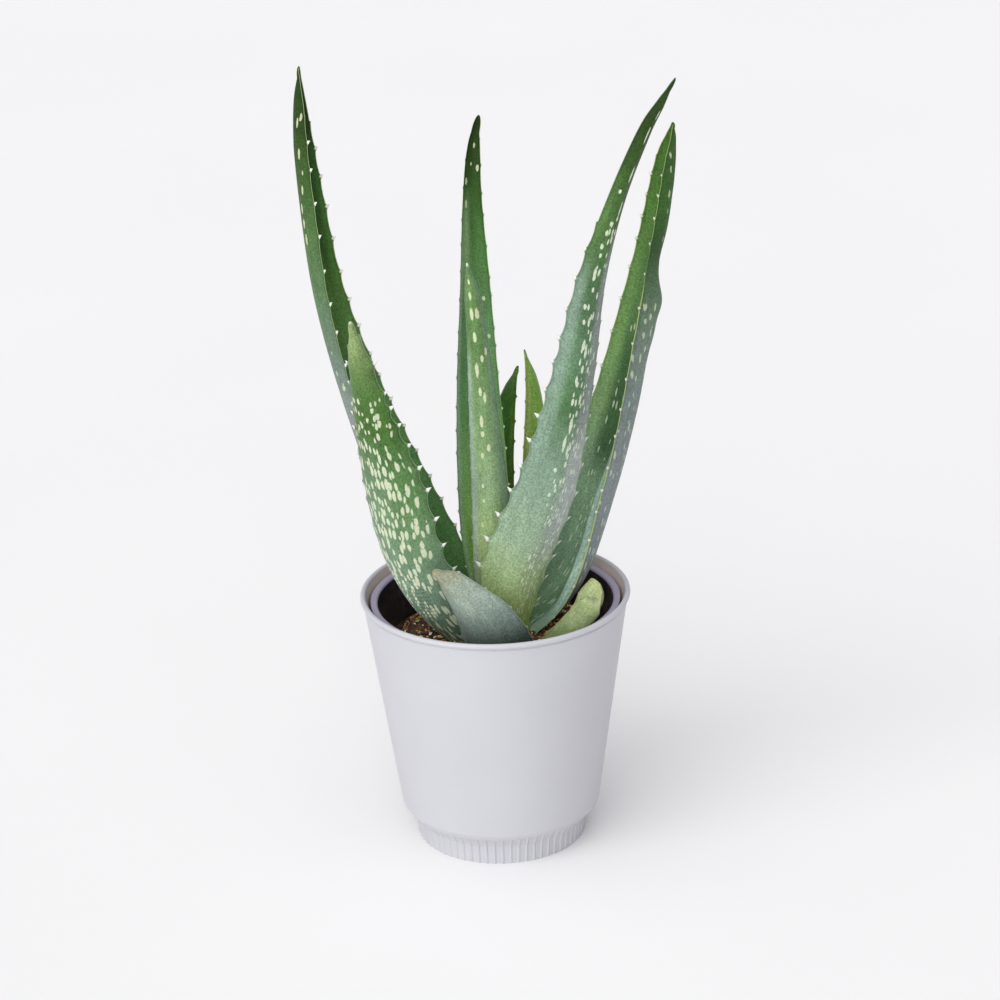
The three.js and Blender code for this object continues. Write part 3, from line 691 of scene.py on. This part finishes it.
left_front = leaf_body(
    "left_front_leaf",
    [(-7, -7, 106, 20), (-26, -20, 134, 32), (-39.7, -29, 166, 34.5), (-47.7, -35, 205, 32.3),
     (-56.5, -40, 245, 18.5), (-61.5, -43, 274, 10), (-64.5, -45, 292, 0)],
    faces=(55, 68), hollow=(0.12, 0.15), flesh=(8, 4), seed=12,
    right_teeth=[0.14, 0.22, 0.297, 0.38, 0.46, 0.539, 0.598, 0.66, 0.716, 0.764, 0.805, 0.885],
    tooth=(2.4, 1.6), foot=1.7, scallop=(2.5, 1.5), blunt=7,
    outer=[(0, "5a6f62"), (0.12, "68826f"), (0.25, "758f78"), (0.38, "6f8e6b"), (0.5, "658a58"),
           (0.62, "567c48"), (0.72, "4c7234"), (0.8, "527a3c"), (0.87, "66854c"), (0.93, "869e66"),
           (1, "8fa56f")],
    inner=[(0, "6f8f5c"), (0.5, "5f8a4a"), (1, "7c9a58")],
    washes=[("8698a0", lambda along, x, face: (
                0.55 * smooth(-x, 0.2, 0.95) * (1 - smooth(along, 0.3, 0.6)))),
            ("7c947e", lambda along, x, face: (
                0.4 * (1 - smooth(x, -0.1, 0.5)) * (1 - smooth(along, 0.6, 0.75))))],
    dents=lambda along, x, face: (
        0.3 * np.sin(along * 520 + x * 9) * (face < 0) * band(along, 0.17, 0.22, 0.31, 0.37)
        * (1 - smooth(x, -0.1, 0.5))),
    spot_size=lambda along: (
        1.8 + 0.4 * smooth(along, 0.25, 0.4) - 0.4 * smooth(along, 0.6, 0.7),
        9.5 - 2.6 * smooth(along, 0.2, 0.42) - 2.6 * smooth(along, 0.64, 0.76)),
    spots=lambda along, x, face: (
        (0.86 + 0.15 * np.sin(along * 42 + 2 * x)) * (1 - 0.4 * smooth(along, 0.74, 0.78))
        * (1 - smooth(along, 0.8, 0.82)) * (1 - smooth(x, 0.78, 0.95))),
    bloom=lambda along, x, face: 0.2 * smooth(-x, 0.3, 0.95) * (1 - smooth(along, 0.3, 0.6)))
left_front_skin = leaf_skin("left_front_leaf_skin", spot="dbe2c3", spot_round=0.47, tooth="f4f6ee",
                            tip="d5d2c0", margin="a9bd98")
show(left_front, left_front_skin, "leaf_left_front")

# --------------------
# The tall leaf in the middle: its dark green inner face is to the front, with a paler bluish
# edge at the left, and it curves to the right at the tip.

centre_tall = leaf_body(
    "centre_tall_leaf",
    [(2, 7, 106, 17), (-3.5, 14.5, 150, 24), (-4.7, 18, 190, 25), (-5.5, 22, 235, 21),
     (-5.3, 27, 280, 15.5), (-5.4, 33, 325, 9.8), (-3.8, 37, 352, 6.3), (-1, 39, 366.5, 0)],
    faces=(275, 285), hollow=(0.2, 0.3), flesh=(6, 3), seed=13,
    tooth=(1.3, 0.5), scallop=(0.4, 0.2), blunt=9,
    outer=[(0, "7d9a70"), (0.5, "6f9168"), (1, "506c3c")],
    # Painted light: the lowest inner stops are painted much lighter, where the leaves round it
    # shade the base.
    inner=[(0, "9ccb5c"), (0.13, "9ac75c"), (0.21, "98c66e"), (0.3, "92bf74"), (0.45, "709f66"),
           (0.56, "6a9460"), (0.62, "5e8554"), (0.72, "4f7742"), (0.8, "426832"), (0.88, "345422"),
           (1, "24360f")],
    washes=[("b4d0ba", lambda along, x, face: (
                0.7 * smooth(x, 0.72, 0.92) * (face > 0) * (1 - smooth(along, 0.7, 0.8)))),
            ("8fae7c", lambda along, x, face: (
                0.7 * (face > 0) * smooth(x, 0.0, 0.5) * band(along, 0.6, 0.72, 0.78, 0.88)))])
centre_tall_skin = leaf_skin(
    "centre_tall_leaf_skin", oval_face=1.0, margin="a9bb86", tooth="eef1e2",
    ovals=[(-0.6, 248, 0.5, 1.4), (0.3, 238.7, 0.4, 0.9), (-2.6, 236.9, 0.6, 1.6),
           (2.8, 230.5, 0.7, 1.8), (2.7, 219.1, 0.6, 2.0), (-4.7, 171.5, 0.8, 1.2),
           (-6.8, 152.3, 0.7, 1.2), (2.6, 256, 0.5, 1.4)])
show(centre_tall, centre_tall_skin, "leaf_centre_tall")

# --------------------
# The shorter leaf before it: its outer face is to the front, with a line of cream ovals down
# the middle and a dry jagged tip.

centre_front = leaf_body(
    "centre_front_leaf",
    [(2, -7, 106, 15), (0, -12, 145, 20), (-1, -14, 190, 18), (-3, -16, 235, 14),
     (-4.7, -17, 270, 10.3), (-6.8, -17, 295, 6.8), (-8.7, -17, 310, 0)],
    faces=(90, 90), hollow=(0.15, 0.15), flesh=(5, 3), seed=14,
    tooth=(0.9, 0.0), scallop=(0.3, 0.1), blunt=3,
    outer=[(0, "b5cf58"), (0.12, "b8d068"), (0.21, "b4ca80"), (0.3, "acc586"), (0.37, "9cb882"),
           (0.45, "8fab80"), (0.55, "84a270"), (0.69, "7a9b66"), (0.78, "6b8f55"),
           (0.85, "678b52"), (1, "6a8c50")],
    inner=[(0, "7f9a66"), (1, "6f9058")],
    washes=[("bccfc6", lambda along, x, face: (
                0.65 * smooth(-x, 0.55, 0.95) * (1 - smooth(along, 0.7, 0.85)))),
            ("7d9c88", lambda along, x, face: 0.4 * smooth(x, 0.3, 0.8))])
centre_front_skin = leaf_skin(
    "centre_front_leaf_skin", spot="dbe3bd", margin="b4c6bd", tip="ecebdf", tip_length=2.5,
    ovals=[(-0.6, 195.9, 0.5, 1.2), (-1.0, 189.2, 0.7, 2.0), (-1.3, 180.2, 0.9, 3.0),
           (1.3, 179.9, 0.9, 2.8), (-1.1, 168.6, 1.0, 3.0), (3.4, 160.5, 0.6, 2.0),
           (1.4, 157.2, 0.7, 1.9), (-1.5, 151.8, 0.9, 3.8), (-0.8, 140.4, 0.7, 2.2),
           (1.2, 137.0, 0.8, 2.8), (-1.2, 124.9, 0.8, 3.4), (-1.3, 118.6, 0.8, 1.6),
           (1.1, 111.1, 0.8, 1.8), (-2.2, 107.0, 0.7, 1.6), (-3.1, 91.0, 0.6, 1.2),
           (-3.2, 83.0, 0.6, 1.1), (-4.5, 69.8, 0.5, 1.4), (-3.6, 63.3, 0.5, 0.9),
           (2.5, 67.2, 0.6, 1.0)])
show(centre_front, centre_front_skin, "leaf_centre_front")

# --------------------
# The small dark leaf behind the middle: young and narrow, its hollow inner face to the front, with
# paler margins and a tip that turns right. It grows from the far side of the stem.

back_dark = leaf_body(
    "back_dark_leaf",
    [(2, 15, 106, 11), (3.5, 27.5, 150, 15), (5.5, 33, 190, 13), (8.3, 37, 215, 10.5),
     (14.8, 40, 236, 0)],
    faces=(285, 300), hollow=(0.3, 0.3), flesh=(4, 2.5), seed=15,
    tooth=(0.7, 0.7), scallop=(0.2, 0.2), blunt=5,
    outer=[(0, "4a6f38"), (1, "3f6430")],
    inner=[(0, "5f9245"), (0.6, "4a7d38"), (0.85, "4f7f3a"), (1, "7aa45c")],
    washes=[("7f9f4c", lambda along, x, face: (
        0.7 * smooth(np.abs(x), 0.55, 0.9) * (1 - smooth(along, 0.75, 0.95))))])
back_dark_skin = leaf_skin("back_dark_leaf_skin", margin="6f9048", tooth="3a4a20")
show(back_dark, back_dark_skin, "leaf_back_dark")

# --------------------
# The small light leaf beside it: young, smooth-edged and light green, yellower at its left, with
# faint long flecks on its inner face, which is to the front. It leans to the left at the top.

back_light = leaf_body(
    "back_light_leaf",
    [(11, 11, 106, 11), (19, 23.5, 150, 15.5), (22, 29, 190, 15), (21.8, 33, 222, 9.7),
     (18, 36, 246, 0)],
    faces=(240, 230), hollow=(0.2, 0.2), flesh=(4, 2.5), seed=16,
    tooth=(0.4, 0.3), scallop=(0.1, 0.1), blunt=4,
    outer=[(0, "8cab66"), (1, "90b060")], inner=[(0, "749f48"), (0.4, "83ae54"), (1, "8fb75c")],
    washes=[("a9bb6c", lambda along, x, face: 0.7 * smooth(x, 0.35, 0.7) * (face > 0))],
    spots=lambda along, x, face: 0.3 * (face > 0) * (1 - smooth(along, 0.8, 0.9)),
    spot_size=(1.8, 9.0))
back_light_skin = leaf_skin("back_light_leaf_skin", margin="b9c98c", tooth="dfe8c0", spot="b3c77c",
                            spot_round=0.35)
show(back_light, back_light_skin, "leaf_back_light")

# --------------------
# The right front leaf: tall, leaning right, its outer face to the front. It is powdery grey-green
# low down, green at the top, with cream ovals along its right side and big teeth at its left.

right_front = leaf_body(
    "right_front_leaf",
    [(3, -11, 106, 20), (6, -17.5, 135, 30), (12.5, -20, 160, 34), (25.6, -22, 193, 32),
     (34, -24, 224, 27), (42, -27, 262, 22), (50, -30, 304, 15.5), (62, -34, 345, 9.5),
     (75, -38, 378, 7.2), (83.2, -40.2, 393, 4.8), (90.5, -42, 405.3, 0)],
    faces=(105, 125), hollow=(0.12, 0.2), flesh=(8, 3), seed=17,
    left_teeth=[0.06, 0.102, 0.147, 0.189, 0.232, 0.281, 0.329, 0.376, 0.42, 0.466, 0.514, 0.554,
                0.602, 0.652, 0.70],
    tooth=(3.0, 0.6), foot=1.7, scallop=(2.7, 0.2), blunt=7,
    outer=[(0, "a6bf5a"), (0.07, "a8c16c"), (0.13, "a5bd82"), (0.21, "95ac8e"), (0.29, "869e87"),
           (0.37, "789279"), (0.45, "51754a"), (0.53, "638462"), (0.61, "4f6d4d"),
           (0.69, "507245"), (0.77, "496d38"), (0.85, "365324"), (0.93, "2a4318"), (1, "243b14")],
    inner=[(0, "7a9a5c"), (0.5, "5f8a4c"), (1, "34521f")],
    washes=[("8ba490", lambda along, x, face: (
                0.85 * smooth(-x, 0.5, 0.85) * band(along, 0.26, 0.38, 0.62, 0.72))),
            ("5f8446", lambda along, x, face: (
                0.6 * smooth(-x, 0.55, 0.85) * band(along, 0.66, 0.74, 0.76, 0.86))),
            ("8b9490", lambda along, x, face: (
                0.8 * smooth(x, -0.05, 0.3) * band(along, 0.34, 0.44, 0.66, 0.78))),
            ("a9b2ac", lambda along, x, face: (
                0.85 * smooth(x, -0.05, 0.3) * band(along, 0.14, 0.28, 0.36, 0.46))),
            ("5c6250", lambda along, x, face: (
                0.6 * smooth(x, -0.3, 0.2) * smooth(along, 0.7, 0.78)))],
    spots=lambda along, x, face: (
        0.6 * bell(x, 0.05, 0.4) * band(along, 0.34, 0.42, 0.72, 0.8)
        + 0.5 * smooth(x, -0.3, 0.1) * (1 - smooth(along, 0.36, 0.44))),
    spot_size=lambda along: (1.5, 4.4 + 1.2 * smooth(along, 0.38, 0.48)))
right_front_skin = leaf_skin(
    "right_front_leaf_skin", spot="d3dec6", dust="a3aaae", margin="a9bb9c",
    ovals=[(-0.2, 296.4, 0.22, 2.4), (-0.6, 285.0, 0.25, 5.0), (-0.3, 264.4, 0.35, 4.0),
           (-2.3, 254.5, 0.55, 1.1), (0.2, 246.0, 0.3, 4.4), (-1.9, 238.1, 0.5, 1.4),
           (-2.4, 233.1, 0.5, 1.4), (-2.9, 225.9, 0.6, 1.6), (-2.6, 221.3, 0.5, 1.2),
           (-3.0, 211.3, 0.6, 3.4), (-2.4, 203.6, 0.5, 1.4), (-4.3, 194.4, 0.6, 1.4),
           (-1.6, 187.2, 0.6, 2.4), (-3.8, 186.9, 0.6, 1.5), (-2.4, 175.4, 0.7, 2.8),
           (-1.0, 171.0, 0.6, 2.4), (-1.2, 163.2, 0.65, 1.8), (-2.3, 154.9, 0.7, 1.6),
           (0.6, 147.1, 0.6, 3.0), (-2.9, 145.8, 0.7, 1.8), (-1.4, 133.8, 0.8, 3.6),
           (-2.6, 123.8, 0.65, 4.4), (-0.4, 119.8, 0.6, 3.4), (-4.0, 109.3, 0.8, 1.3),
           (-3.4, 96.0, 0.6, 1.2), (-1.9, 101.0, 0.5, 1.1)])
show(right_front, right_front_skin, "leaf_right_front")

# --------------------
# The right tall leaf: deeply channelled, its bright inner face to the left, and its near edge a
# thick ridge. Along the ridge the inner face is painted a pale bluish strip, a painted highlight,
# and most of the channel has a dark wash, painted shade. It clasps the leaf in front of it at the
# base, and its outline is notched.

right_tall = leaf_body(
    "right_tall_leaf",
    [(-2, -7, 112, 24), (13, -5, 123.5, 31), (31.5, 1.5, 142, 30), (45.5, 12, 181, 28.5),
     (58, 19, 222, 25), (68, 26, 260, 19.5), (77.7, 31, 300, 14.2), (86.0, 34, 340, 9.8),
     (90.6, 35.2, 354.2, 5.0), (93.0, 36, 361, 0)],
    faces=(222, 220, 212, 205, 205), hollow=(0.27, 0.48), flesh=(8, 4.5), seed=18,
    ridge=lambda along, x: (7.5 * bell(x, -0.72, 0.2) * band(along, 0.06, 0.16, 0.5, 0.7)
                            * (1 - 0.65 * smooth(along, 0.28, 0.45))),
    dents=lambda along, x, face: (face < 0) * (
        3.2 * bell(along, 0.675, 0.03) + 1.7 * bell(along, 0.62, 0.035)
        - 2.2 * bell(along, 0.75, 0.045)),
    right_teeth=[0.48, 0.538, 0.603, 0.664, 0.724, 0.777, 0.818, 0.859, 0.897],
    left_teeth=[0.1, 0.155, 0.235, 0.288, 0.33, 0.373, 0.432, 0.48, 0.534, 0.599, 0.664, 0.726,
                0.781, 0.827, 0.868, 0.905],
    tooth=(1.2, 1.4), foot=1.4, scallop=(0.3, 0.4), curl=(0.3, 0.0), blunt=3,
    outer=[(0, "6f7f74"), (0.25, "7a8886"), (0.37, "7d8a86"), (0.5, "70857a"), (0.6, "667f64"),
           (0.69, "56764e"), (0.77, "34552a"), (0.85, "3e6a2c"), (1, "38581f")],
    inner=[(0, "7a9a6c"), (0.2, "7f9e80"), (0.37, "8cac88"), (0.45, "86a973"), (0.6, "7ba160"),
           (0.75, "668c4b"), (0.85, "4f7836"), (1, "446829")],
    # Painted shade: a dark green wash over most of the channel on the inner face.
    washes=[("3a5c38", lambda along, x, face: (
                0.9 * (face > 0) * smooth(-x, -0.82, -0.5) * band(along, 0.3, 0.4, 0.76, 0.86)
                * (1 - 0.45 * smooth(along, 0.56, 0.68)))),
            ("4c6c50", lambda along, x, face: (
                0.6 * (face > 0) * bell(x, -0.3, 0.3) * (1 - smooth(along, 0.3, 0.45)))),
            # Painted highlight: a pale bluish strip on the inner face along the ridge, where it
            # catches light.
            ("97b2a4", lambda along, x, face: (
                0.85 * (face > 0) * smooth(-x, 0.45, 0.65) * (1 - smooth(along, 0.6, 0.75))))],
    spots=lambda along, x, face: (0.22 * (face < 0) + (1 - smooth(along, 0.6, 0.7)) * (
        0.35 * (face < 0) + 0.4 * (face > 0) * smooth(-x, -0.7, -0.4))),
    spot_size=(1.2, 7.0),
    bloom=lambda along, x, face: 0.4 * smooth(-face, 0.0, 0.4) * (1 - smooth(along, 0.6, 0.75)))
right_tall_skin = leaf_skin("right_tall_leaf_skin", dust="9a9fa4", margin="b4c47e", spot="c3d0b4",
                            spot_round=0.34)
show(right_tall, right_tall_skin, "leaf_right_tall")

# --------------------
# The short front leaf: dark grey-green, finely speckled, leaning forward and left in front of the
# others, with a dry blunt tip. It starts in the soil a little way from the stem.

stub_front = leaf_body(
    "front_stub_leaf",
    [(6, -23, 108, 27), (1, -36, 120.5, 34), (-5.5, -41, 136, 29), (-12.7, -44, 146.5, 21.5),
     (-21, -45.5, 156.7, 14), (-30, -46, 163, 0)],
    faces=(78, 70), hollow=(0.12, 0.15), flesh=(5, 2.5), seed=19,
    tooth=(0.8, 0.5), scallop=(0.2, 0.2), blunt=4,
    outer=[(0, "45544a"), (0.3, "55655a"), (0.5, "84958a"), (0.65, "a0b0a2"), (0.8, "9ba897"),
           (0.93, "99a087"), (1, "9c9c7a")],
    inner=[(0, "7a905f"), (1, "7c8c62")],
    washes=[("93a79a", lambda along, x, face: (
                0.6 * smooth(-x, 0.7, 0.95) * (1 - smooth(along, 0.85, 0.95)))),
            ("a8946c", lambda along, x, face: (
                0.35 * smooth(x, 0.3, 0.9) * smooth(along, 0.82, 0.92)))],
    spots=lambda along, x, face: 0.5, spot_size=(1.1, 1.3))
stub_front_skin = leaf_skin("front_stub_leaf_skin", spot="93a39a", spot_round=0.22, margin="aebcb0",
                            dust="8d9a98", tip="a09468", grit=0.25, tip_length=1.2)
show(stub_front, stub_front_skin, "leaf_stub_front")

# --------------------
# The short right leaf: yellow-green, leaning out to the growing pot's lip. It was cut off, and its
# end is rounded, closed and dry, with a brown edge.

stub_right = leaf_body(
    "right_stub_leaf",
    [(14, -18, 106, 10), (31, -21.5, 122.5, 13), (38.2, -22, 130, 13.5), (44, -22, 138, 13.5),
     (51, -22, 146, 13.5), (58, -22, 153, 12)],
    faces=(165, 156), hollow=(0.45, 0.55), flesh=(5, 5), seed=20,
    tooth=(0.6, 0.5), scallop=(0.2, 0.2), blunt=0.5,
    bend=lambda along, x: 4 * smooth(x, -0.1, 1.0) * smooth(along, 0.35, 0.7),
    cut=((44.6, -19, 134.5), (0.66, 0, 0.75), 10),
    outer=[(0, "7f9a62"), (0.35, "a5c083"), (0.5, "acc08a"), (0.65, "acbd86"), (0.8, "a9ad78"),
           (1, "b08a52")],
    # Painted light: the inner face is painted light yellow-green where the right tall leaf and the
    # rim shade it.
    inner=[(0, "a5c083"), (0.5, "bdd09a"), (0.7, "bccb94"), (0.85, "b9bd84"), (1, "b58c50")])
stub_right_skin = leaf_skin("right_stub_leaf_skin", margin="b08a50", tip="a87a48", tooth="c9b98a",
                            grit=0.2)
show(stub_right, stub_right_skin, "leaf_stub_right")
